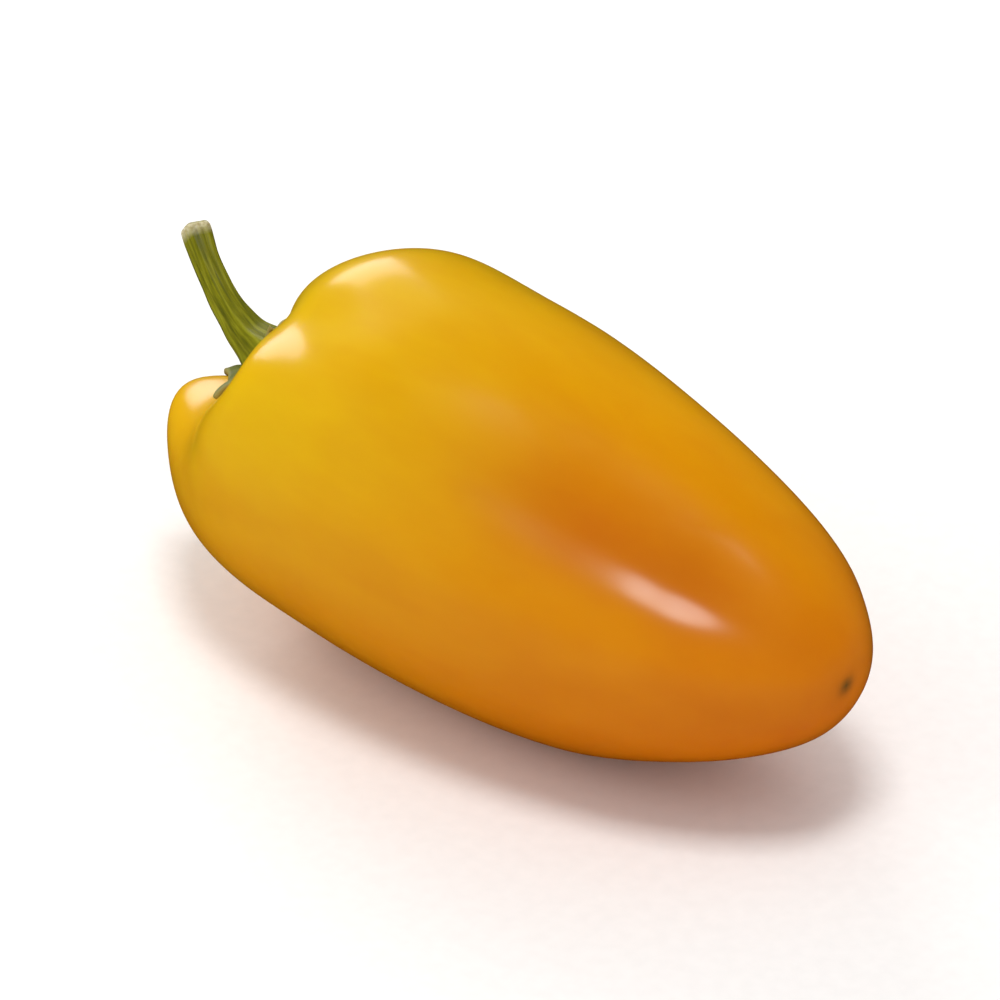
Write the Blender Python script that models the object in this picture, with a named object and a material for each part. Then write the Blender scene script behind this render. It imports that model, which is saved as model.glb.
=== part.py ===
"""A mini bell pepper as picked, lying on its side: a lobed fruit, its green calyx and its stem.

The fruit is modelled along its own axis, from the stem end at 0 towards the blossom tip at +X.
Angles around that axis run from the top (0) over the front (90) to the underside (180).
"""

import math
from collections import namedtuple

import bmesh
import bpy
from mathutils import Matrix, Vector

MM = 0.001  # a millimetre in Blender's metres
CLEARANCE = 0.4 * MM  # between two pieces that touch on the real pepper

# The fruit as a turned body, before its furrows
FRUIT_LENGTH = 85 * MM
FRUIT_WIDTH = 46 * MM
WIDEST_AT = 25 * MM  # from the stem end
STEM_END_BLUNTNESS = 4.6  # 2 is an ellipse, and more is a flatter end
BLOSSOM_END_BLUNTNESS = 2.25
STEM_DIMPLE_DEPTH = 1.2 * MM
STEM_DIMPLE_RADIUS = 8 * MM
BLOSSOM_DIMPLE_DEPTH = 0.7 * MM
BLOSSOM_DIMPLE_RADIUS = 4 * MM

# How the turned body leans and bends: its stem end is cut askew, and its axis sags a little
STEM_END_SLANT = 0.34  # rise of the end's plane over its radius
SLANT_TOWARDS = 140  # degrees round the axis
SLANT_REACH = 51 * MM  # where the slant has faded out
SLANT_FADE = 1.5  # 1 fades evenly, and more fades sooner
AXIS_SAG = 1.8 * MM
SAG_TOWARDS = 140  # degrees round the axis

# Each furrow runs from its angle at the stem end to its angle on the body. Its spreads, in degrees, are its
# widths before and after that angle. Its course gives the depth, over half the fruit's width, at each share
# of the length. The lobe that follows it swells past the turned body's stem end by its rise, over half the
# width, most at the radius rise_at. The calyx's corner in it reaches to calyx_reach corner radii.
Furrow = namedtuple("Furrow", "stem_angle body_angle spreads rise rise_at calyx_reach course")
FURROWS = (
    Furrow(28, 40, (22, 15), -0.23, 0.52, 1.0,
           ((0, 0.07), (0.1, 0.14), (0.3, 0.01), (0.64, 0.13), (0.8, 0.12), (1, 0.02))),
    Furrow(84, 102, (26, 34), 0.29, 0.36, 1.3,
           ((0, 0.07), (0.04, 0.08), (0.22, 0), (1, 0))),
    Furrow(160, 165, (16, 16), 0.12, 0.52, 1.0,
           ((0, 0.07), (0.06, 0.12), (0.35, 0), (0.65, 0), (0.82, 0.06), (1, 0))),
    Furrow(232, 222, (16, 16), 0.12, 0.52, 0.96,
           ((0, 0.08), (0.06, 0.12), (0.4, 0.01), (1, 0))),
    Furrow(304, 282, (24, 20), 0.1, 0.52, 1.0,
           ((0, 0.08), (0.06, 0.1), (0.4, 0.06), (0.7, 0.135), (0.92, 0.02), (1, 0))),
)
FURROW_START = 4 * MM  # radius at which the furrows begin, round each end's middle
FURROW_SETTLED_AT = 0.4  # of the length, where a furrow reaches its body angle
FURROW_NARROWING = 0.5  # of its spread, at the stem end
FURROW_FULL_AT = 0.3  # of the length, where a furrow has its whole spread
LOBE_RISE_SPREAD = 0.3  # over half the width
LOBE_RISE_START = 3 * MM  # radius at which the lobes begin to rise
AXIS_RADIUS = 0.3 * MM  # nearer the axis than this, a point of the skin is taken on the axis itself
FRUIT_RINGS = 44  # from end to end
FRUIT_STRIPS = 64  # round the axis

# The calyx: a thin five-cornered cap whose corners lie in the furrows
CALYX_CORNER_RADIUS = 9.8 * MM
CALYX_SIDE_RADIUS = 6.6 * MM
CALYX_CORNER_SHARPNESS = 2.6  # 1 gives straight edges to the corners, and more draws them out
CALYX_THICKNESS = 0.8 * MM
CALYX_BOSS_RADIUS = 4.0 * MM  # the collar that the stem grows from
CALYX_BOSS_HEIGHT = 2.4 * MM
CALYX_SIDE = 360 / len(FURROWS)  # degrees of even turn from corner to corner
CALYX_STRIPS_PER_SIDE = 8
CALYX_RINGS = 20

# The stem: a tapered stalk that bends upwards and ends in a slightly swollen cut
STEM_LENGTH = 15.5 * MM  # along the fruit's axis
STEM_DIAMETER = 3.0 * MM
STEM_ROOT_SWELL = 1.5  # radius at the calyx over the stem's own radius
STEM_CUT_SWELL = 1.16
STEM_SWELLS = ((0, STEM_ROOT_SWELL), (0.2, 1.32), (0.45, 1.17), (0.85, 1.05), (1, STEM_CUT_SWELL))  # along it
STEM_BEND = 8.7 * MM  # how far its tip leans off the fruit's axis
STEM_BEND_ONSET = 1.9  # 1 is a straight lean, and more bends nearer the tip
STEM_BEND_TOWARDS = 320  # degrees round the fruit's axis
STEM_SEAT_SLOPE = 1.16  # how steeply the calyx climbs away from the fruit's axis, under the stem's rim
STEM_SEAT_RISE = max(CALYX_BOSS_HEIGHT, STEM_SEAT_SLOPE * STEM_ROOT_SWELL * STEM_DIAMETER / 2)
STEM_ROOT_HEIGHT = CALYX_THICKNESS + STEM_SEAT_RISE + 2 * CLEARANCE

# How the pepper lies
AXIS_PITCH = 4.0  # degrees that the blossom end points down
REST_FLAT_DEPTH = 0.45 * MM  # how much the underside is flattened where it lies


def bell(offset, spread):
    """1 at no offset, and fading to nothing past about twice the spread."""
    return math.exp(-0.5 * (offset / spread) ** 2)


def angle_between(one, other):
    """The signed angle from other to one, within half a turn, in degrees."""
    return (one - other + 180) % 360 - 180


def along_course(share, course):
    """The course's value at this share of the length, eased between its stations."""
    share = min(max(share, course[0][0]), course[-1][0])
    for (start, first), (end, last) in zip(course, course[1:]):
        if share <= end:
            step = (share - start) / (end - start)
            return first + (last - first) * step * step * (3 - 2 * step)
    return course[-1][1]


def outward(angle):
    """The unit vector across the fruit's axis at this angle."""
    turn = math.radians(angle)
    return Vector((0, -math.sin(turn), math.cos(turn)))


def turned_profile(polar):
    """(along, radius) of the turned body, for a polar angle from the stem end (0) to the tip (pi)."""
    reach = abs(math.cos(polar))
    if polar < math.pi / 2:
        along = WIDEST_AT * (1 - reach)
        bluntness = STEM_END_BLUNTNESS
    else:
        along = WIDEST_AT + (FRUIT_LENGTH - WIDEST_AT) * reach
        bluntness = BLOSSOM_END_BLUNTNESS
    return along, FRUIT_WIDTH / 2 * math.sqrt(max(0, 1 - reach**bluntness))


def polar_at(radius):
    """The polar angle at which the turned body has this radius, on its stem end."""
    share = min(radius / (FRUIT_WIDTH / 2), 1)
    return math.acos((1 - share**2) ** (1 / STEM_END_BLUNTNESS))


def turned_slope(polar):
    """The turned body's outward normal as (along, radius)."""
    small = 1e-4
    first = turned_profile(max(polar - small, 0))
    last = turned_profile(min(polar + small, math.pi))
    along, radius = last[0] - first[0], last[1] - first[1]
    size = math.hypot(along, radius)
    return -radius / size, along / size


def furrow_depth(share, radius, angle):
    """How deep the furrows lie under the turned body here."""
    depth = 0
    width = FURROW_NARROWING + (1 - FURROW_NARROWING) * min(share / FURROW_FULL_AT, 1)
    for furrow in FURROWS:
        ease = min(share / FURROW_SETTLED_AT, 1)
        middle = furrow.stem_angle + angle_between(furrow.body_angle, furrow.stem_angle) * ease
        off = angle_between(angle, middle)
        spread = furrow.spreads[0] if off < 0 else furrow.spreads[1]
        depth += along_course(share, furrow.course) * bell(off, spread * width)
    return depth * FRUIT_WIDTH / 2 * (1 - bell(radius, FURROW_START))


def lobe_rise(radius, angle):
    """How far the lobe at this angle swells past the turned body's stem end."""
    for furrow, after in zip(FURROWS, FURROWS[1:] + FURROWS[:1]):
        width = (after.stem_angle - furrow.stem_angle) % 360
        into = (angle - furrow.stem_angle) % 360
        if into < width:
            crest = math.sin(math.pi * into / width) ** 2
            swell = bell(2 * radius / FRUIT_WIDTH - furrow.rise_at, LOBE_RISE_SPREAD)
            return furrow.rise * FRUIT_WIDTH / 2 * crest * swell * (1 - bell(radius, LOBE_RISE_START))
    return 0


def fruit_point(polar, angle):
    """A point of the fruit's skin, in the fruit's own frame."""
    along, radius = turned_profile(polar)
    slope = turned_slope(polar)
    depth = furrow_depth(along / FRUIT_LENGTH, radius, angle)
    if polar < math.pi / 2:
        along += STEM_DIMPLE_DEPTH * bell(radius, STEM_DIMPLE_RADIUS / 2)
        along -= lobe_rise(radius, angle) * (1 - along / WIDEST_AT)
    else:
        along -= BLOSSOM_DIMPLE_DEPTH * bell(radius, BLOSSOM_DIMPLE_RADIUS / 2)
    along -= slope[0] * depth
    radius -= slope[1] * depth
    fade = max(0, 1 - along / SLANT_REACH) ** SLANT_FADE
    along -= STEM_END_SLANT * radius * math.cos(math.radians(angle - SLANT_TOWARDS)) * fade
    share = along / FRUIT_LENGTH
    sag = AXIS_SAG * 4 * share * (1 - share)
    return Vector((along, 0, 0)) + outward(angle) * radius + outward(SAG_TOWARDS) * sag


def fruit_normal(polar, angle):
    """The skin's outward normal at a point off the poles."""
    small = 0.002
    across = fruit_point(polar, angle + math.degrees(small)) - fruit_point(polar, angle - math.degrees(small))
    down = fruit_point(polar + small, angle) - fruit_point(polar - small, angle)
    return across.cross(down).normalized()


def stem_point(height):
    """A point of the stem's centre line, at this height over the middle of the stem dimple."""
    bend = STEM_BEND * (height / (STEM_ROOT_HEIGHT + STEM_LENGTH)) ** STEM_BEND_ONSET
    return fruit_point(0, 0) + Vector((-height, 0, 0)) + outward(STEM_BEND_TOWARDS) * bend


def clear_scene():
    for obj in list(bpy.data.objects):
        bpy.data.objects.remove(obj)


def skin_material(name, colour, roughness):
    material = bpy.data.materials.new(name)
    material.use_nodes = True
    shader = material.node_tree.nodes["Principled BSDF"]
    shader.inputs["Base Color"].default_value = (*colour, 1)
    shader.inputs["Roughness"].default_value = roughness
    shader.inputs["Metallic"].default_value = 0
    return material


def add_object(name, data, collection, material=None):
    obj = bpy.data.objects.new(name, data)
    collection.objects.link(obj)
    if material:
        data.materials.append(material)
    return obj


def ball_mesh(name, strips, rings, place):
    """A UV sphere whose every vertex is put at place(polar angle, angle round the axis)."""
    bm = bmesh.new()
    bmesh.ops.create_uvsphere(bm, u_segments=strips, v_segments=rings, radius=1)
    for vertex in bm.verts:
        polar = math.acos(min(max(vertex.co.z, -1), 1))
        vertex.co = place(polar, math.degrees(math.atan2(vertex.co.y, vertex.co.x)))
    bmesh.ops.recalc_face_normals(bm, faces=bm.faces)
    mesh = bpy.data.meshes.new(name)
    bm.to_mesh(mesh)
    bm.free()
    mesh.shade_smooth()
    return mesh


def make_fruit(collection):
    mesh = ball_mesh("fruit", FRUIT_STRIPS, FRUIT_RINGS, fruit_point)
    return add_object("fruit", mesh, collection, skin_material("pepper_skin", (0.72, 0.34, 0.003), 0.25))


def calyx_angle(turn):
    """The angle round the fruit's axis for an even turn, so that whole sides end in the furrows."""
    corners = [furrow.stem_angle for furrow in FURROWS]
    sides = turn % 360 / CALYX_SIDE
    side = int(sides) % len(corners)
    width = (corners[(side + 1) % len(corners)] - corners[side]) % 360
    return corners[side] + width * (sides - int(sides))


def calyx_rim_radius(turn):
    """A five-sided outline with drawn-out corners."""
    off_middle = abs(2 * (turn % CALYX_SIDE) / CALYX_SIDE - 1)
    corner = CALYX_CORNER_RADIUS * FURROWS[round(turn / CALYX_SIDE) % len(FURROWS)].calyx_reach
    return CALYX_SIDE_RADIUS + (corner - CALYX_SIDE_RADIUS) * off_middle**CALYX_CORNER_SHARPNESS


def calyx_point(polar, turn):
    """A point of the cap: polar angles under a right angle are its top, and the rest its underside."""
    angle = calyx_angle(turn)
    radius = calyx_rim_radius(turn) * math.sin(polar)
    seat = polar_at(max(radius, AXIS_RADIUS))
    skin = fruit_point(seat, angle) if radius > AXIS_RADIUS else fruit_point(0, 0)
    up = fruit_normal(seat, angle)
    lift = CLEARANCE + CALYX_THICKNESS * (1 + math.cos(polar)) / 2
    point = skin + up * lift
    if polar < math.pi / 2:
        point.x -= CALYX_BOSS_HEIGHT * bell(radius, CALYX_BOSS_RADIUS / 2)
    return point


def make_calyx(collection):
    mesh = ball_mesh("calyx", CALYX_STRIPS_PER_SIDE * len(FURROWS), CALYX_RINGS, calyx_point)
    return add_object("calyx", mesh, collection, skin_material("calyx_green", (0.12, 0.17, 0.02), 0.55))


def make_stem(collection):
    curve = bpy.data.curves.new("stem", "CURVE")
    curve.dimensions = "3D"
    curve.bevel_depth = STEM_DIAMETER / 2
    curve.bevel_resolution = 4
    curve.resolution_u = 6
    curve.use_fill_caps = True
    spline = curve.splines.new("BEZIER")
    spline.bezier_points.add(len(STEM_SWELLS) - 1)
    for point, (share, swell) in zip(spline.bezier_points, STEM_SWELLS):
        point.co = stem_point(STEM_ROOT_HEIGHT + STEM_LENGTH * share)
        point.radius = swell
        point.handle_left_type = point.handle_right_type = "AUTO"
    return add_object("stem", curve, collection, skin_material("stem_green", (0.19, 0.2, 0.02), 0.5))


def world_box(objects):
    """The lowest and highest corner of these objects' evaluated vertices."""
    bpy.context.view_layer.update()
    graph = bpy.context.evaluated_depsgraph_get()
    corners = []
    for obj in objects:
        evaluated = obj.evaluated_get(graph)
        mesh = evaluated.to_mesh()
        corners += [evaluated.matrix_world @ vertex.co for vertex in mesh.vertices]
        evaluated.to_mesh_clear()
    low = Vector([min(corner[i] for corner in corners) for i in range(3)])
    high = Vector([max(corner[i] for corner in corners) for i in range(3)])
    return low, high


def lay_down(pose, pieces):
    """Tips the pepper to its resting pitch, with its box centred on the origin and its lowest point sunk."""
    pose.rotation_euler = (0, math.radians(AXIS_PITCH), 0)
    low, high = world_box(pieces)
    pose.location = (-(low.x + high.x) / 2, -(low.y + high.y) / 2, -low.z - REST_FLAT_DEPTH)


def flatten_underside(fruit, cutters):
    """Cuts the skin off level with the surface that the pepper lies on."""
    bm = bmesh.new()
    bmesh.ops.create_cube(bm, size=1)
    size = 2 * FRUIT_LENGTH
    bmesh.ops.transform(bm, matrix=Matrix.Diagonal((size, size, size / 4, 1)), verts=bm.verts)
    mesh = bpy.data.meshes.new("table_cutter")
    bm.to_mesh(mesh)
    bm.free()
    cutter = add_object("table_cutter", mesh, cutters)
    cutter.location = (0, 0, -size / 8)
    cutter.hide_render = True
    cutter.display_type = "WIRE"
    modifier = fruit.modifiers.new("rest_spot", "BOOLEAN")
    modifier.operation = "DIFFERENCE"
    modifier.object = cutter


def main():
    clear_scene()
    pepper = bpy.data.collections.new("mini_bell_pepper")
    cutters = bpy.data.collections.new("cutters")
    for collection in (pepper, cutters):
        bpy.context.scene.collection.children.link(collection)
    pose = add_object("pepper_pose", None, pepper)
    fruit = make_fruit(pepper)
    pieces = [fruit, make_calyx(pepper), make_stem(pepper)]
    for piece in pieces:
        piece.parent = pose
    lay_down(pose, pieces)
    flatten_underside(fruit, cutters)


main()
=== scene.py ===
import math

import bmesh
import bpy
from mathutils import Matrix, Vector, noise


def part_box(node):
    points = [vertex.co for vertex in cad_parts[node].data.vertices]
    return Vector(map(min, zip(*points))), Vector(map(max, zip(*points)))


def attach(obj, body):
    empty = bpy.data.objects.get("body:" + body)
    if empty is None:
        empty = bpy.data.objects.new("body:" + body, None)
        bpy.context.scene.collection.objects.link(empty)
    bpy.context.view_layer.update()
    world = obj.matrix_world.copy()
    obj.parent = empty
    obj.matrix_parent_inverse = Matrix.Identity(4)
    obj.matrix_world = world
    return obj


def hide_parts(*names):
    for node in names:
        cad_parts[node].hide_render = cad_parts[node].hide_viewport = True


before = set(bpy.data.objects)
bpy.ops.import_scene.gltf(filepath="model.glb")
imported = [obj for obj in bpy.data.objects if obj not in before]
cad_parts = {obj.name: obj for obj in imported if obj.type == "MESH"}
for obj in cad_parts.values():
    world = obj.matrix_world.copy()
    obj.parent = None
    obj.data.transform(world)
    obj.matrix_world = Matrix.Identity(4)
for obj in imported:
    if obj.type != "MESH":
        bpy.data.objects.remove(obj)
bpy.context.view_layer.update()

# A mini bell pepper lying on its side: lobed fruit, green calyx, bent stem.
# Each piece is shaped along the pepper's own axis, stem end at 0 and blossom tip at +X, then laid down.
# Angles round that axis: 0 on top, 90 at the front, 180 underneath.

mm = 0.001

fruit = {
    "length": 85 * mm,
    "width": 46 * mm,
    "widestAt": 25 * mm,
    "stemEndBluntness": 4.6,  # 2 is an ellipse, more is flatter
    "tipBluntness": 2.25,
    "stemDimple": (1.2 * mm, 8 * mm),  # depth, radius
    "tipDimple": (0.7 * mm, 4 * mm),
    "slant": 0.34,  # the stem end's plane, rise over radius
    "slantTowards": 140,
    "slantReach": 51 * mm,
    "slantFade": 1.5,  # 1 fades evenly, more fades sooner
    "sag": 1.8 * mm,
    "sagTowards": 140,
    "furrowStart": 4 * mm,  # radius where furrows begin round each end
    "furrowSettledAt": 0.4,  # share of the length where a furrow reaches its body angle
    "furrowNarrowing": (0.5, 0.3),  # share of the spread at the stem end, length where it is full
    "lobeRiseSpread": 0.3,
    "lobeRiseStart": 3 * mm,  # radius round the stem where the lobes begin to rise
    "pitch": 4.0,  # degrees, blossom end down
    "cuts": 59,  # grid on each side of the starting cube
    "waveHeight": 0.28 * mm,
    "waveLength": 13 * mm,
    "waveStretch": 2.2,  # how much longer the waves are along the fruit
    "furrowShadeFade": (0.3, 0.68),  # shares of the length between which the painted furrow shade comes in
    "dipColour": 0.14,  # furrow depth over half the width where the painted shade is deepest
    "dullPatch": (4, 24, 0.64, 0.24, 1.35),  # angle, spread, share of the length, spread, strength
    "scarRadius": 0.7 * mm,  # where the blossom fell off
    "floorRound": 0.2 * mm,  # how gently the skin meets the table
}

# stem-end angle, body angle, spreads before and after it, the rise of the lobe after it and the share of
# half the width where that is highest, then the depth over half the width at shares of the length
furrows = (
    (28, 40, (22, 15), (-0.23, 0.52),
     ((0, 0.07), (0.1, 0.14), (0.3, 0.01), (0.64, 0.13), (0.8, 0.12), (1, 0.02))),
    (84, 102, (26, 34), (0.29, 0.36),
     ((0, 0.07), (0.04, 0.08), (0.22, 0), (1, 0))),
    (160, 165, (16, 16), (0.12, 0.52),
     ((0, 0.07), (0.06, 0.12), (0.35, 0), (0.65, 0), (0.82, 0.06), (1, 0))),
    (232, 222, (16, 16), (0.12, 0.52),
     ((0, 0.08), (0.06, 0.12), (0.4, 0.01), (1, 0))),
    (304, 282, (24, 20), (0.1, 0.52),
     ((0, 0.08), (0.06, 0.1), (0.4, 0.06), (0.7, 0.135), (0.92, 0.02), (1, 0))),
)


# 1 at no offset, 0.6 at one spread and next to nothing past three
def bell(offset, spread):
    return math.exp(-0.5 * (offset / spread) ** 2)


# signed, within half a turn
def angleBetween(one, other):
    return (one - other + 180) % 360 - 180


# the course's value, eased between its stations
def alongCourse(share, course):
    share = min(max(share, course[0][0]), course[-1][0])
    for (start, first), (end, last) in zip(course, course[1:]):
        if share <= end:
            step = (share - start) / (end - start)
            return first + (last - first) * step * step * (3 - 2 * step)
    return course[-1][1]


# unit vector across the fruit's axis
def outward(angle):
    turn = math.radians(angle)
    return Vector((0, -math.sin(turn), math.cos(turn)))


# the turned body before its furrows, for a polar angle from stem end (0) to tip (pi)
def turnedProfile(polar):
    reach = abs(math.cos(polar))
    if polar < math.pi / 2:
        along = fruit["widestAt"] * (1 - reach)
        bluntness = fruit["stemEndBluntness"]
    else:
        along = fruit["widestAt"] + (fruit["length"] - fruit["widestAt"]) * reach
        bluntness = fruit["tipBluntness"]
    return along, fruit["width"] / 2 * math.sqrt(max(0, 1 - reach**bluntness))


# the turned body's outward normal, as its parts along the axis and away from it
def turnedSlope(polar):
    small = 1e-4
    first = turnedProfile(max(polar - small, 0))
    last = turnedProfile(min(polar + small, math.pi))
    along, radius = last[0] - first[0], last[1] - first[1]
    size = math.hypot(along, radius)
    return -radius / size, along / size


# the polar angle where the stem end has this radius
def polarAt(radius):
    share = min(radius / (fruit["width"] / 2), 1)
    return math.acos((1 - share**2) ** (1 / fruit["stemEndBluntness"]))


def furrowDepth(share, radius, angle):
    depth = 0
    narrow, full = fruit["furrowNarrowing"]
    for stemAngle, bodyAngle, spreads, _, course in furrows:
        turned = min(share / fruit["furrowSettledAt"], 1)
        middle = stemAngle + angleBetween(bodyAngle, stemAngle) * turned
        off = angleBetween(angle, middle)
        spread = (spreads[0] if off < 0 else spreads[1]) * (narrow + (1 - narrow) * min(share / full, 1))
        depth += alongCourse(share, course) * bell(off, spread)
    return depth * fruit["width"] / 2 * (1 - bell(radius, fruit["furrowStart"]))


# how far the lobe at this angle swells past the turned body's stem end
def lobeRise(radius, angle):
    for furrow, after in zip(furrows, furrows[1:] + furrows[:1]):
        width = (after[0] - furrow[0]) % 360
        into = (angle - furrow[0]) % 360
        if into < width:
            height, highest = furrow[3]
            crest = math.sin(math.pi * into / width) ** 2
            swell = bell(2 * radius / fruit["width"] - highest, fruit["lobeRiseSpread"])
            return height * fruit["width"] / 2 * crest * swell * (1 - bell(radius, fruit["lobeRiseStart"]))
    return 0


def skinPoint(polar, angle):
    along, radius = turnedProfile(polar)
    slope = turnedSlope(polar)
    depth = furrowDepth(along / fruit["length"], radius, angle)
    if polar < math.pi / 2:
        dimple, reach = fruit["stemDimple"]
        along += dimple * bell(radius, reach / 2)
        along -= lobeRise(radius, angle) * (1 - along / fruit["widestAt"])
    else:
        dimple, reach = fruit["tipDimple"]
        along -= dimple * bell(radius, reach / 2)
    along -= slope[0] * depth
    radius -= slope[1] * depth
    fade = max(0, 1 - along / fruit["slantReach"]) ** fruit["slantFade"]
    along -= fruit["slant"] * radius * math.cos(math.radians(angle - fruit["slantTowards"])) * fade
    share = along / fruit["length"]
    sag = outward(fruit["sagTowards"]) * fruit["sag"] * 4 * share * (1 - share)
    return Vector((along, 0, 0)) + outward(angle) * radius + sag


def skinNormal(polar, angle):
    turn, step = 0.1, 0.002  # degrees, radians
    across = skinPoint(polar, angle + turn) - skinPoint(polar, angle - turn)
    down = skinPoint(polar + step, angle) - skinPoint(polar - step, angle)
    return across.cross(down).normalized()


stemSocket = skinPoint(0, 0)


# colours are sRGB hex, a shader's sockets want linear
def linear(code):
    channels = [int(code[i:i + 2], 16) / 255 for i in (0, 2, 4)]
    return tuple(c / 12.92 if c <= 0.04045 else ((c + 0.055) / 1.055) ** 2.4 for c in channels) + (1,)


# settings are the node's properties, values and links go by socket, stops are a ramp's colours
def addNode(tree, kind, settings=None, values=None, links=None, stops=()):
    node = tree.nodes.new("ShaderNode" + kind)
    for name, value in (settings or {}).items():
        setattr(node, name, value)
    for socket, value in (values or {}).items():
        node.inputs[socket].default_value = value
    for socket, output in (links or {}).items():
        tree.links.new(output, node.inputs[socket])
    for index, (position, colour) in enumerate(stops):
        elements = node.color_ramp.elements
        element = elements[index] if index < len(elements) else elements.new(position)
        element.position = position
        element.color = linear(colour)
    return node


# a Mix node's sockets share their names: 0 is the share, 6 and 7 the colours, and output 2 the result
blend = {"data_type": "RGBA"}
multiply = {"data_type": "RGBA", "blend_type": "MULTIPLY"}


def newMaterial(name, constants):
    material = bpy.data.materials.new(name)
    material.use_nodes = True
    tree = material.node_tree
    shader = tree.nodes["Principled BSDF"]
    for socket, value in constants.items():
        shader.inputs[socket].default_value = value
    return material, tree, shader


# Pepper skin: a thin waxy cuticle grown over juicy flesh. Smooth and glossy, with colour that comes from a
# little below the surface and turns from lemon at the stem to orange at the tip, with painted shade
# underneath and in the furrows.
def pepperSkin():
    material, tree, shader = newMaterial("waxyPepperSkin", {
        "Specular IOR Level": 0.05,
        "IOR": 1.45,
        "Subsurface Weight": 0.15,
        "Subsurface Radius": (1.0, 0.42, 0.04),
        "Subsurface Scale": 3.0 * mm,
        "Coat Roughness": 0.2,
        "Coat IOR": 1.45,
    })
    place = addNode(tree, "TexCoord").outputs["Object"]
    split = addNode(tree, "SeparateXYZ", links={"Vector": place})
    dip = addNode(tree, "Attribute", {"attribute_name": "dip"}).outputs["Fac"]
    dull = addNode(tree, "Attribute", {"attribute_name": "dull"}).outputs["Fac"]
    scar = addNode(tree, "Attribute", {"attribute_name": "scar"}).outputs["Fac"]
    low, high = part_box("fruit")
    lengthwise = addNode(tree, "MapRange", values={"From Min": low[0], "From Max": high[0]},
                         links={"Value": split.outputs["X"]}).outputs["Result"]
    upwards = addNode(tree, "MapRange", values={"From Min": low[2], "From Max": high[2]},
                      links={"Value": split.outputs["Z"]}).outputs["Result"]
    ripe = addNode(tree, "ValToRGB", links={"Fac": lengthwise},
                   stops=((0.0, "e0bd00"), (0.25, "dbae00"), (0.6, "d89900"), (1.0, "d98600")))
    # painted shade: the lower part of the fruit is multiplied darker and more orange, standing in for shade
    # and warm bounced light underneath
    paintedUnderShade = addNode(tree, "ValToRGB", links={"Fac": upwards},
                    stops=((0.0, "ffcb90"), (0.35, "ffdcb0"), (0.75, "ffffff")))
    body = addNode(tree, "Mix", multiply, {0: 1.0},
                   {6: ripe.outputs["Color"], 7: paintedUnderShade.outputs["Color"]}).outputs[2]
    # painted shade: the furrows are blended towards a darker orange, most where they are deepest
    body = addNode(tree, "Mix", blend, {7: linear("c36800")}, {0: dip, 6: body}).outputs[2]
    # mottling about 6 mm across, drawn out along the fruit
    stretched = addNode(tree, "Mapping", values={"Scale": (0.4, 1, 1)},
                        links={"Vector": place}).outputs["Vector"]
    mottling = addNode(tree, "TexNoise", values={"Scale": 1 / (6 * mm), "Detail": 3, "Roughness": 0.5},
                       links={"Vector": stretched}).outputs["Fac"]
    warm = addNode(tree, "ValToRGB", links={"Fac": mottling},
                   stops=((0.35, "f6e8d0"), (0.65, "ffffff"))).outputs["Color"]
    body = addNode(tree, "Mix", multiply, {0: 0.5}, {6: body, 7: warm}).outputs[2]
    body = addNode(tree, "Mix", blend, {7: linear("6b4a18")}, {0: scar, 6: body}).outputs[2]
    tree.links.new(body, shader.inputs["Base Color"])
    # the wax is a thin coat, a little uneven, and gone where the skin is dullest
    wax = addNode(tree, "TexNoise", values={"Scale": 1 / (4 * mm), "Detail": 4}, links={"Vector": place})
    noiseRange = {"From Min": 0.3, "From Max": 0.7}
    flesh = addNode(tree, "MapRange", values={**noiseRange, "To Min": 0.36, "To Max": 0.46},
                    links={"Value": wax.outputs["Fac"]})
    tree.links.new(flesh.outputs["Result"], shader.inputs["Roughness"])
    even = addNode(tree, "MapRange", values={**noiseRange, "To Min": 0.72, "To Max": 0.88},
                   links={"Value": wax.outputs["Fac"]}).outputs["Result"]
    left = addNode(tree, "MapRange", values={"To Min": 1.0, "To Max": 0.0},
                   links={"Value": dull}).outputs["Result"]
    coat = addNode(tree, "Math", {"operation": "MULTIPLY"}, links={0: even, 1: left})
    tree.links.new(coat.outputs["Value"], shader.inputs["Coat Weight"])
    # skin cells are 0.05 mm, so the grain is drawn ten times as coarse to show at all
    grain = addNode(tree, "TexNoise", values={"Scale": 1 / (0.5 * mm), "Detail": 2}, links={"Vector": place})
    ripple = addNode(tree, "TexNoise", values={"Scale": 1 / (3 * mm), "Detail": 2},
                     links={"Vector": stretched})
    soft = addNode(tree, "Bump", values={"Strength": 0.2, "Distance": 0.1 * mm},
                   links={"Height": ripple.outputs["Fac"]})
    fine = addNode(tree, "Bump", values={"Strength": 0.1, "Distance": 0.02 * mm},
                   links={"Height": grain.outputs["Fac"], "Normal": soft.outputs["Normal"]})
    tree.links.new(fine.outputs["Normal"], shader.inputs["Normal"])
    return material


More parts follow.
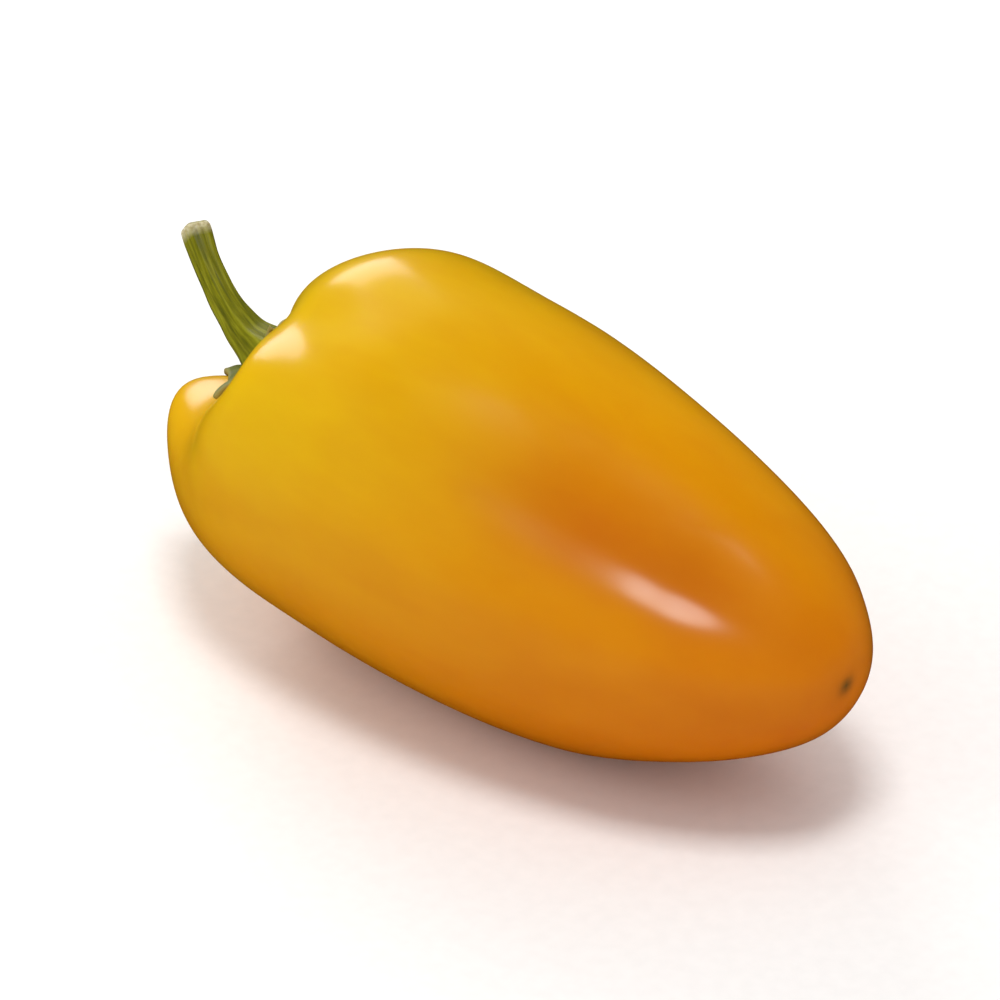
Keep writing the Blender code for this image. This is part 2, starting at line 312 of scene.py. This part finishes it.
# Calyx: the dried green leaves that the fruit grew from, tough and a little bumpy, pale at the torn rim.
def calyxTissue():
    material, tree, shader = newMaterial("greenCalyxTissue", {
        "Specular IOR Level": 0.3,
        "Subsurface Weight": 0.05,
        "Subsurface Radius": (0.5, 1.0, 0.15),
        "Subsurface Scale": 1.0 * mm,
    })
    place = addNode(tree, "TexCoord").outputs["Object"]
    out = addNode(tree, "Attribute", {"attribute_name": "outShare"}).outputs["Fac"]
    rib = addNode(tree, "Attribute", {"attribute_name": "ribShare"}).outputs["Fac"]
    blotch = addNode(tree, "TexNoise", values={"Scale": 1 / (1.5 * mm), "Detail": 4}, links={"Vector": place})
    green = addNode(tree, "ValToRGB", links={"Fac": blotch.outputs["Fac"]},
                    stops=((0.3, "4d5412"), (0.5, "666a18"), (0.7, "7c7d2c"))).outputs["Color"]
    green = addNode(tree, "Mix", blend, {7: linear("8a8c34")}, {0: rib, 6: green}).outputs[2]
    rim = addNode(tree, "MapRange", values={"From Min": 0.93, "To Max": 0.7}, links={"Value": out})
    green = addNode(tree, "Mix", blend, {7: linear("a89a5c")},
                    {0: rim.outputs["Result"], 6: green}).outputs[2]
    tree.links.new(green, shader.inputs["Base Color"])
    rough = addNode(tree, "MapRange", values={"To Min": 0.42, "To Max": 0.6},
                    links={"Value": blotch.outputs["Fac"]})
    tree.links.new(rough.outputs["Result"], shader.inputs["Roughness"])
    pits = addNode(tree, "TexNoise", values={"Scale": 1 / (0.6 * mm), "Detail": 3}, links={"Vector": place})
    bump = addNode(tree, "Bump", values={"Strength": 0.5, "Distance": 0.12 * mm},
                   links={"Height": pits.outputs["Fac"]})
    tree.links.new(bump.outputs["Normal"], shader.inputs["Normal"])
    return material


# Stem: a fibrous green stalk, satin along its ridges, pale and dry where it was cut.
def stemStalk():
    material, tree, shader = newMaterial("greenStemStalk", {
        "Specular IOR Level": 0.15,
        "Subsurface Weight": 0.05,
        "Subsurface Radius": (0.5, 1.0, 0.15),
        "Subsurface Scale": 1.0 * mm,
    })
    place = addNode(tree, "TexCoord").outputs["Object"]
    around = addNode(tree, "Attribute", {"attribute_name": "streak"}).outputs["Vector"]
    cut = addNode(tree, "Attribute", {"attribute_name": "cutShare"}).outputs["Fac"]
    fibres = addNode(tree, "TexNoise", values={"Scale": 6, "Detail": 4}, links={"Vector": around})
    green = addNode(tree, "ValToRGB", links={"Fac": fibres.outputs["Fac"]},
                    stops=((0.3, "525604"), (0.5, "706f00"), (0.7, "8b8a12"))).outputs["Color"]
    dry = addNode(tree, "TexNoise", values={"Scale": 1 / (0.4 * mm), "Detail": 4}, links={"Vector": place})
    pale = addNode(tree, "ValToRGB", links={"Fac": dry.outputs["Fac"]},
                   stops=((0.3, "b3a275"), (0.7, "e6ddbb"))).outputs["Color"]
    tint = addNode(tree, "Mix", blend, links={0: cut, 6: green, 7: pale}).outputs[2]
    tree.links.new(tint, shader.inputs["Base Color"])
    rough = addNode(tree, "MapRange", values={"To Min": 0.35, "To Max": 0.55},
                    links={"Value": fibres.outputs["Fac"]})
    tree.links.new(rough.outputs["Result"], shader.inputs["Roughness"])
    bump = addNode(tree, "Bump", values={"Strength": 0.4, "Distance": 0.1 * mm},
                   links={"Height": fibres.outputs["Fac"]})
    tree.links.new(bump.outputs["Normal"], shader.inputs["Normal"])
    return material


def finishPiece(name, bm, material, node, modifiers=()):
    mesh = bpy.data.meshes.new(name)
    bm.to_mesh(mesh)
    bm.free()
    mesh.materials.append(material)
    mesh.shade_smooth()
    piece = bpy.data.objects.new(name, mesh)
    bpy.context.scene.collection.objects.link(piece)
    for kind, settings in modifiers:
        modifier = piece.modifiers.new(kind.lower(), kind)
        for key, value in settings.items():
            setattr(modifier, key, value)
    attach(piece, "root")
    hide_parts(node)
    print("made", name, len(mesh.polygons), "faces")
    return piece


def makeFruit():
    bm = bmesh.new()
    furrowShadeLayer = bm.verts.layers.float.new("dip")
    dullLayer = bm.verts.layers.float.new("dull")
    scarLayer = bm.verts.layers.float.new("scar")
    bmesh.ops.create_cube(bm, size=2)
    bmesh.ops.subdivide_edges(bm, edges=bm.edges[:], cuts=fruit["cuts"], use_grid_fill=True)
    for vert in bm.verts:
        ball = Vector([math.tan(c * math.pi / 4) for c in vert.co]).normalized()  # an even grid on a ball
        polar = math.acos(min(max(-ball.x, -1), 1))
        angle = math.degrees(math.atan2(-ball.y, ball.z))
        vert.co = skinPoint(polar, angle)
        along, radius = turnedProfile(polar)
        share = along / fruit["length"]
        # painted shade: how much darker orange is painted into the furrows, from their depth, faded in
        # towards the tip
        deepest = fruit["dipColour"] * fruit["width"] / 2
        fadeFrom, fadeTo = fruit["furrowShadeFade"]
        fade = min(max((share - fadeFrom) / (fadeTo - fadeFrom), 0), 1)
        vert[furrowShadeLayer] = min(furrowDepth(share, radius, angle) / deepest, 1) * fade
        dullAngle, dullSpread, dullAt, dullLength, strength = fruit["dullPatch"]
        dull = bell(angleBetween(angle, dullAngle), dullSpread) * bell(share - dullAt, dullLength)
        vert[dullLayer] = min(dull * strength, 1)
        vert[scarLayer] = bell(radius, fruit["scarRadius"]) if share > 0.5 else 0
    bm.normal_update()
    for vert in bm.verts:  # slow waves in the skin
        spot = vert.co / fruit["waveLength"]
        spot.x /= fruit["waveStretch"]
        vert.co += vert.normal * noise.noise(spot) * fruit["waveHeight"]
    return bm


# turns and moves the pepper so that the fruit fills its box
def layDown(bm):
    low, high = (Vector(corner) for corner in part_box("fruit"))
    pitch = Matrix.Rotation(math.radians(fruit["pitch"]), 4, "Y")
    points = [pitch @ vert.co for vert in bm.verts]
    middle = [(min(p[i] for p in points) + max(p[i] for p in points)) / 2 for i in (0, 1)]
    top = max(p.z for p in points)
    move = Vector(((low.x + high.x) / 2 - middle[0], (low.y + high.y) / 2 - middle[1], high.z - top))
    return Matrix.Translation(move) @ pitch


# presses whatever is under the table level flat, with a soft edge
def restOnTable(bm):
    soft = fruit["floorRound"]
    for vert in bm.verts:
        if vert.co.z < 4 * soft:
            vert.co.z = (vert.co.z + math.hypot(vert.co.z, 2 * soft)) / 2


fruitBm = makeFruit()
laying = layDown(fruitBm)
bmesh.ops.transform(fruitBm, matrix=laying, verts=fruitBm.verts)
restOnTable(fruitBm)
subdivide = ("SUBSURF", {"levels": 1, "render_levels": 1})
finishPiece("pepperFruit", fruitBm, pepperSkin(), "fruit", [subdivide])

stem = {
    "root": 1.2 * mm,  # above the socket, inside the calyx collar
    "length": 19.7 * mm,  # along the pepper's axis, from the socket
    "radius": 1.5 * mm,
    "bend": 8.7 * mm,
    "bendPower": 1.9,
    "bendTowards": 320,
    "flare": 2.7 * mm,  # added to the radius at the root
    "flareLength": 4.2 * mm,
    "dryBand": 1.2 * mm,  # pale dry tissue below the cut
    "ridges": (5, 0.07, 1.2),  # how many, height over the radius, twist to the tip
    "fineRidges": (11, 0.02, 4),
    "unevenness": (0.06, 4 * mm),  # over the radius, length
    "streakLength": 25 * mm,  # how far the colour runs along the stem for one radius round it
    "taper": 0.06,  # gained over the radius, from the cut down to the root
    "swell": (0.16, 0.09),  # of the cut end over the radius, over what share of the length
    # share of the swollen radius, rise over the end, dryness
    "cutRings": ((0.94, 0.18 * mm, 0.2), (0.84, 0.26 * mm, 0.8), (0.7, 0.2 * mm, 1), (0.5, 0.05 * mm, 1),
                 (0.28, -0.08 * mm, 1), (0.08, -0.12 * mm, 1)),
    "sides": 60,
    "rings": 60,
}


# the stem's middle at a height over the socket
def stemMiddle(height):
    lean = stem["bend"] * max(height / stem["length"], 0) ** stem["bendPower"]
    return stemSocket + Vector((-height, 0, 0)) + outward(stem["bendTowards"]) * lean


calyx = {
    "cornerRadii": (9.8 * mm, 12.7 * mm, 9.8 * mm, 9.4 * mm, 9.8 * mm),  # one for each furrow
    "cornerLifts": (1.2 * mm, 0.1 * mm, 0.5 * mm, 0.9 * mm, 0.9 * mm),
    "liftPowers": (3, 4),  # how late a corner lifts, towards it and towards the rim
    "sideRadii": (6.6 * mm, 4.9 * mm, 6.4 * mm, 6.6 * mm, 6.6 * mm),  # after each corner
    "cornerPower": 3.2,  # 1 widens evenly towards each corner, more draws the corners out
    "thickness": 0.7 * mm,
    "lift": 0.25 * mm,
    "rimWobble": 0.05,  # over the radius
    "rimDrop": (0.3 * mm, 0.08),  # how far the rim turns down, over what share of the radius
    "ribHeight": 0.45 * mm,
    "ribSpread": 7,  # degrees of a 72-degree side
    "ribFade": 0.3,  # more thins the ribs sooner towards the rim
    "ribColour": 0.6,  # share of the ribs' own colour on their crests
    "bumpHeight": 0.25 * mm,
    "bumpLength": 1.6 * mm,
    "collarHeight": 6.5 * mm,
    "collarRadius": 5.4 * mm,
    "collarPower": 2.2,  # more is steeper near the stem
    "axisRadius": 0.3 * mm,  # nearer the axis than this, a point is taken on it
    "spokes": 120,
    "rings": 30,
    "ringPower": 1.2,  # more sets the rings closer together near the stem
}


# degrees from corner to corner while the sides are even
evenSide = 360 / len(furrows)


# turns an angle of the even shape to the one that puts each corner in its furrow
def calyxAngle(turn):
    sides, rest = divmod(turn % 360, evenSide)
    corner = furrows[int(sides)][0]
    width = (furrows[(int(sides) + 1) % len(furrows)][0] - corner) % 360
    return corner + width * rest / evenSide


def makeCalyx():
    bm = bmesh.new()
    outLayer = bm.verts.layers.float.new("outShare")
    ribLayer = bm.verts.layers.float.new("ribShare")
    rings = calyx["rings"]
    spoke = [bm.verts.new(((step / rings) ** calyx["ringPower"], 0, 0)) for step in range(rings + 1)]
    edges = [bm.edges.new(pair) for pair in zip(spoke, spoke[1:])]
    bmesh.ops.spin(bm, geom=spoke + edges, axis=(0, 0, 1), cent=(0, 0, 0), angle=2 * math.pi,
                   steps=calyx["spokes"], use_merge=True)
    bmesh.ops.remove_doubles(bm, verts=bm.verts[:], dist=1e-6)
    for vert in bm.verts:
        share = vert.co.to_2d().length
        turn = math.degrees(math.atan2(vert.co.y, vert.co.x)) % 360
        offCorner = min(turn % evenSide, evenSide - turn % evenSide)
        toCorner = 1 - 2 * offCorner / evenSide
        corner = round(turn / evenSide) % len(furrows)
        side = calyx["sideRadii"][int(turn // evenSide) % len(furrows)]
        rim = side + (calyx["cornerRadii"][corner] - side) * toCorner ** calyx["cornerPower"]
        wobble = noise.noise(Vector((math.cos(math.radians(turn)) * 3, math.sin(math.radians(turn)) * 3, 5)))
        radius = rim * share * (1 + calyx["rimWobble"] * wobble)
        angle = calyxAngle(turn)
        polar = polarAt(max(radius, calyx["axisRadius"]))
        skin = skinPoint(polar, angle) if radius > calyx["axisRadius"] else stemSocket
        normal = skinNormal(polar, angle)
        rib = bell(offCorner, calyx["ribSpread"] / max(share, 0.3)) * (1 - share) ** calyx["ribFade"]
        bumps = noise.noise(skin / calyx["bumpLength"]) * calyx["bumpHeight"] * min(share * 3, 1)
        rimDrop, dropReach = calyx["rimDrop"]
        edgeDown = bell(1 - share, dropReach) * rimDrop
        lift = calyx["lift"] + calyx["thickness"] + calyx["ribHeight"] * rib + bumps - edgeDown
        late, later = calyx["liftPowers"]
        lift += calyx["cornerLifts"][corner] * toCorner**late * share**later
        collar = calyx["collarHeight"] * max(0, 1 - radius / calyx["collarRadius"]) ** calyx["collarPower"]
        vert.co = skin + normal * lift + stemMiddle(collar) - stemSocket
        vert[outLayer] = share
        vert[ribLayer] = rib * calyx["ribColour"]
    bmesh.ops.recalc_face_normals(bm, faces=bm.faces)
    if sum(face.normal.x for face in bm.faces) > 0:  # an open sheet, whose top looks towards -X
        bmesh.ops.reverse_faces(bm, faces=bm.faces)
    bmesh.ops.transform(bm, matrix=laying, verts=bm.verts)
    return bm


thicken = ("SOLIDIFY", {"thickness": calyx["thickness"], "offset": -1})
finishPiece("pepperCalyx", makeCalyx(), calyxTissue(), "calyx", [thicken, subdivide])


# extrudes a closed ring of vertices and gives the new ring in the same order
def growRing(bm, ring):
    edges = [bm.edges.get((a, b)) for a, b in zip(ring, ring[1:] + ring[:1])]
    grown = bmesh.ops.extrude_edge_only(bm, edges=edges)["geom"]
    # each new vertex still lies on the one it came from
    partner = {vert.co.to_tuple(9): vert for vert in grown if isinstance(vert, bmesh.types.BMVert)}
    return [partner[vert.co.to_tuple(9)] for vert in ring]


def makeStem():
    bendAcross = outward(stem["bendTowards"])
    side = Vector((-1, 0, 0)).cross(bendAcross)
    bm = bmesh.new()
    cutLayer = bm.verts.layers.float.new("cutShare")
    streakLayer = bm.verts.layers.float_vector.new("streak")

    def shapeRing(verts, height, radius, dryness):
        share = height / stem["length"]
        middle = stemMiddle(height)
        forward = (stemMiddle(height + 0.1 * mm) - middle).normalized()
        up = (bendAcross - forward * bendAcross.dot(forward)).normalized()
        for step, vert in enumerate(verts):
            turn = 2 * math.pi * step / len(verts)
            ridge = 1
            for count, rise, twist in (stem["ridges"], stem["fineRidges"]):
                ridge += rise * math.cos(count * turn + twist * share)
            unevenness, length = stem["unevenness"]
            spot = Vector((math.cos(turn) * 0.7, math.sin(turn) * 0.7, height / length))
            rough = 1 + unevenness * noise.noise(spot * 1.3)
            vert.co = middle + (up * math.cos(turn) + side * math.sin(turn)) * radius * ridge * rough
            vert[cutLayer] = dryness
            vert[streakLayer] = Vector((math.cos(turn), math.sin(turn), height / stem["streakLength"]))

    ring = bmesh.ops.create_circle(bm, segments=stem["sides"], radius=1)["verts"]
    ring.sort(key=lambda vert: math.atan2(vert.co.y, vert.co.x) % (2 * math.pi))
    end = stem["length"]
    swell, swellReach = stem["swell"]
    for step in range(stem["rings"] + 1):
        height = stem["root"] + (end - stem["root"]) * step / stem["rings"]
        if step:
            ring = growRing(bm, ring)
        share = (height - stem["root"]) / (end - stem["root"])
        radius = stem["radius"] * (1 + swell * bell(1 - share, swellReach) + stem["taper"] * (1 - share))
        radius += stem["flare"] * math.exp(-(height - stem["root"]) / stem["flareLength"])
        shapeRing(ring, height, radius, 0.9 * max(0, 1 - (end - height) / stem["dryBand"]))
    # the cut: a rounded lip, then slightly hollow
    lip = stem["radius"] * (1 + swell)
    for inset, rise, dryness in stem["cutRings"]:
        ring = growRing(bm, ring)
        shapeRing(ring, end + rise, lip * inset, dryness)
    middle = sum((vert.co for vert in ring), Vector()) / len(ring)
    bmesh.ops.pointmerge(bm, verts=ring, merge_co=middle)
    bmesh.ops.holes_fill(bm, edges=[edge for edge in bm.edges if edge.is_boundary], sides=0)
    bmesh.ops.recalc_face_normals(bm, faces=bm.faces)
    bmesh.ops.transform(bm, matrix=laying, verts=bm.verts)
    return bm


finishPiece("pepperStem", makeStem(), stemStalk(), "stem", [subdivide])

studio = {
    "floorSize": 6.0,
    "azimuth": 42,  # degrees, from -Y round towards +X
    "elevation": 33,
    "distance": 1.1,
    "fieldWidth": 113 * mm,
    "aimAt": (24.9 * mm, -15.5 * mm),  # right and up from the stem end of the pepper's axis
    "worldStrength": 0.55,
    # direction from the pepper, distance, sides, power, whether the skin reflects it
    "softboxes": {
        "overheadSoftbox": ((0.12, -0.16, 0.97), 1.0, (0.3, 0.3), 4.3, True),
        "backSoftbox": ((-0.8, 0.42, 0.45), 1.0, (0.5, 0.5), 3.5, True),
        "fillSoftbox": ((-0.7, -0.75, 0.45), 1.4, (1.4, 1.4), 6.2, False),
    },
}


def makeFloor():
    bm = bmesh.new()
    bmesh.ops.create_grid(bm, x_segments=8, y_segments=8, size=studio["floorSize"] / 2)
    mesh = bpy.data.meshes.new("studioFloor")
    bm.to_mesh(mesh)
    bm.free()
    # thick paper: matt, white, with a slight tooth
    material, tree, shader = newMaterial("whiteStudioPaper", {"Roughness": 0.9, "Specular IOR Level": 0.1})
    place = addNode(tree, "TexCoord").outputs["Object"]
    tooth = addNode(tree, "TexNoise", values={"Scale": 1 / (2 * mm), "Detail": 2}, links={"Vector": place})
    paper = addNode(tree, "ValToRGB", links={"Fac": tooth.outputs["Fac"]},
                    stops=((0.3, "f7f5f3"), (0.7, "faf8f6")))
    tree.links.new(paper.outputs["Color"], shader.inputs["Base Color"])
    mesh.materials.append(material)
    floor = bpy.data.objects.new("studioFloor", mesh)
    bpy.context.scene.collection.objects.link(floor)
    floor.visible_glossy = False  # keeps the wax from going milky


def makeCamera():
    azimuth, elevation = math.radians(studio["azimuth"]), math.radians(studio["elevation"])
    look = Vector((-math.sin(azimuth) * math.cos(elevation), math.cos(azimuth) * math.cos(elevation),
                   -math.sin(elevation)))
    right = Vector((math.cos(azimuth), math.sin(azimuth), 0))
    up = right.cross(look)
    aim = laying @ Vector((0, 0, 0)) + right * studio["aimAt"][0] + up * studio["aimAt"][1]
    data = bpy.data.cameras.new("studioCamera")
    data.lens = data.sensor_width * studio["distance"] / studio["fieldWidth"]
    data.clip_end = 50
    camera = bpy.data.objects.new("studioCamera", data)
    bpy.context.scene.collection.objects.link(camera)
    camera.location = aim - look * studio["distance"]
    camera.rotation_euler = look.to_track_quat("-Z", "Y").to_euler()
    bpy.context.scene.camera = camera
    return aim


def addSoftbox(name, aim):
    direction, distance, size, power, glossy = studio["softboxes"][name]
    data = bpy.data.lights.new(name, "AREA")
    data.shape = "RECTANGLE"
    data.size, data.size_y = size
    data.energy = power
    light = bpy.data.objects.new(name, data)
    bpy.context.scene.collection.objects.link(light)
    light.location = aim + Vector(direction).normalized() * distance
    light.rotation_euler = (-Vector(direction)).to_track_quat("-Z", "Y").to_euler()
    light.visible_glossy = glossy


def makeStudio():
    makeFloor()
    aim = makeCamera()
    for name in studio["softboxes"]:
        addSoftbox(name, aim)
    world = bpy.data.worlds.new("studioWorld")
    bpy.context.scene.world = world
    world.use_nodes = True
    background = world.node_tree.nodes["Background"]
    background.inputs["Color"].default_value = (1, 1, 1, 1)
    background.inputs["Strength"].default_value = studio["worldStrength"]
    world.cycles_visibility.glossy = False
    bpy.context.scene.view_settings.view_transform = "Standard"


makeStudio()
print("made the studio")
